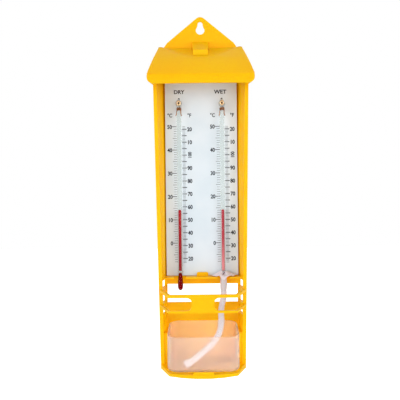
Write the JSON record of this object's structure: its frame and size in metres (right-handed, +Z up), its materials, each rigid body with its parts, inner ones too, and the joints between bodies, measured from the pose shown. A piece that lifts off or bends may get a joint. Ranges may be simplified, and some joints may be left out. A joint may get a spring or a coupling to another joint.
{
  "type": "wet and dry bulb hygrometer",
  "caption": "Wall-hung wet and dry bulb hygrometer: moulded case and hood, scale plate, two spirit thermometers, a wick and a water reservoir.",
  "frame": {"origin": "where the nail seats in the keyhole, on the wall plane behind the case", "axes": "+X right as seen from the front, +Y into the wall, +Z up along the case"},
  "size_m": [0.0944, 0.0498, 0.325],
  "materials": {
    "case": "satin moulded plastic, yellow",
    "plate": "white plate with black printed scales",
    "glass": "clear drawn glass",
    "spirit": "red dyed spirit",
    "brass": "plated eyelet",
    "copper": "dull copper wire",
    "steel": "tinned wire",
    "cotton": "knitted cotton, damp",
    "reservoir": "frosted translucent moulding"
  },
  "bodies": {
    "case": {"case": "case", "hood": "case", "scale_plate": "plate", "dry_thermometer_glass": "glass", "dry_bulb_spirit": "spirit", "dry_spirit_column": "spirit", "dry_eyelet": "brass", "dry_tie_wire": "copper", "wet_thermometer_glass": "glass", "wet_bulb_spirit": "spirit", "wet_spirit_column": "spirit", "wet_eyelet": "brass", "wet_tie_wire": "copper", "dry_neck_clip": "steel", "wick_sleeve": "cotton", "wick_thread": "cotton", "wick_mouth": "cotton", "wick_tail": "cotton"},
    "reservoir": {"reservoir": "reservoir"},
    "dry_reading": {"dry_meniscus": "spirit"},
    "wet_reading": {"wet_meniscus": "spirit"}
  },
  "joints": [
    {"name": "reservoir_slide", "type": "slide", "parent": "case", "child": "reservoir", "axis": [0, -0.9367, 0.3502], "range_m": [0, 0.051], "deforming": ["wick_tail"]},
    {"name": "dry_column_rise", "type": "slide", "parent": "case", "child": "dry_reading", "axis": [0, 0, 1], "range_m": [-0.04796, 0.07848], "deforming": ["dry_spirit_column"]},
    {"name": "wet_column_rise", "type": "slide", "parent": "case", "child": "wet_reading", "axis": [0, 0, 1], "range_m": [-0.04796, 0.07848], "deforming": ["wet_spirit_column"]}
  ]
}
